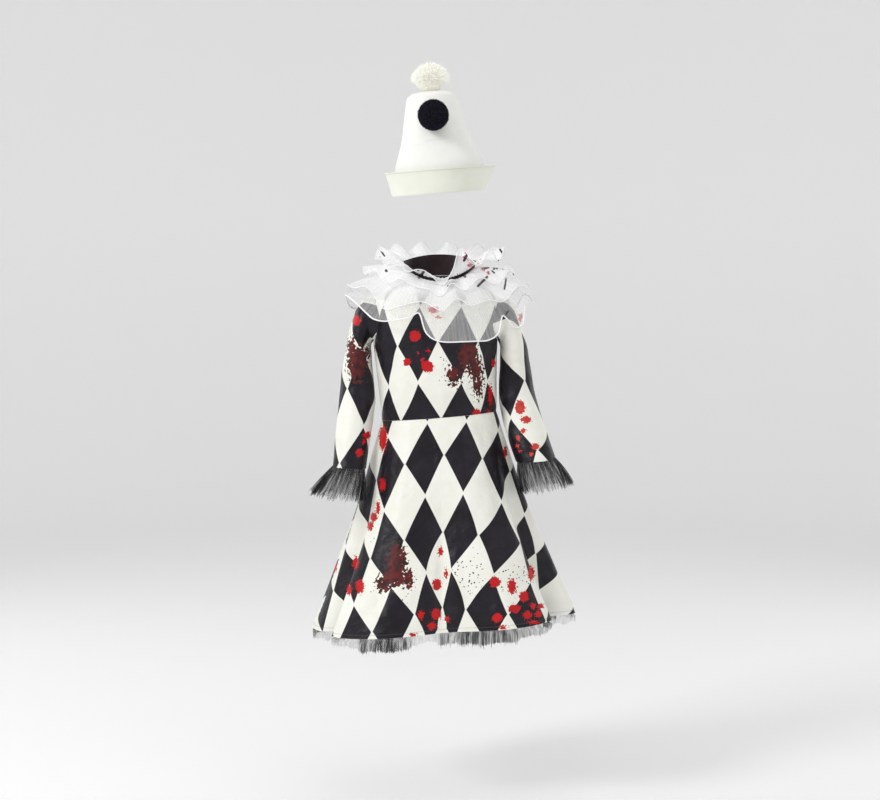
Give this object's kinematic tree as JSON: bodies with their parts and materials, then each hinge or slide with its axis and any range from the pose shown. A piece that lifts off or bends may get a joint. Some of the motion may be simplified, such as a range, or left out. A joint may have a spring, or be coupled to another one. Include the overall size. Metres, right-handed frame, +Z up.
{
  "type": "pierrot costume: harlequin dress, organza ruff and cone hat",
  "caption": "Child's pierrot costume, hollow as worn: long-sleeved harlequin dress with flared skirt and net frills, tiered organza ruff, cone hat with pompoms.",
  "frame": {"origin": "middle of the wearer's neck base, 1.03 m above the floor that the wearer stands on", "axes": "+Z up, -Y is the front, +X is the side that is on the right in the picture"},
  "size_m": [0.5298, 0.4069, 1.1691],
  "materials": {
    "harlequin_satin": "polyester satin printed with black and ivory lozenges, with red and dark spatters",
    "black_net": "stiff black net, see-through",
    "white_organza": "sheer white organza with a corded edge",
    "dark_ribbon": "dark satin band",
    "white_felt": "ivory white felt",
    "black_yarn": "cut black yarn",
    "cream_yarn": "cut cream yarn"
  },
  "bodies": {
    "root": {"bodice_front": "harlequin_satin", "bodice_back_right": "harlequin_satin", "bodice_back_left": "harlequin_satin", "sleeve_left": "harlequin_satin", "sleeve_right": "harlequin_satin", "cuff_net_left": "black_net", "cuff_net_right": "black_net", "skirt_front": "harlequin_satin", "skirt_back": "harlequin_satin", "hem_net": "black_net", "ruff_band": "dark_ribbon", "ruff_top": "white_organza", "ruff_upper": "white_organza", "ruff_middle": "white_organza", "ruff_bottom": "white_organza", "hat_cone": "white_felt", "hat_brim": "white_felt", "pompom_black": "black_yarn", "pompom_cream": "cream_yarn"}
  },
  "joints": []
}
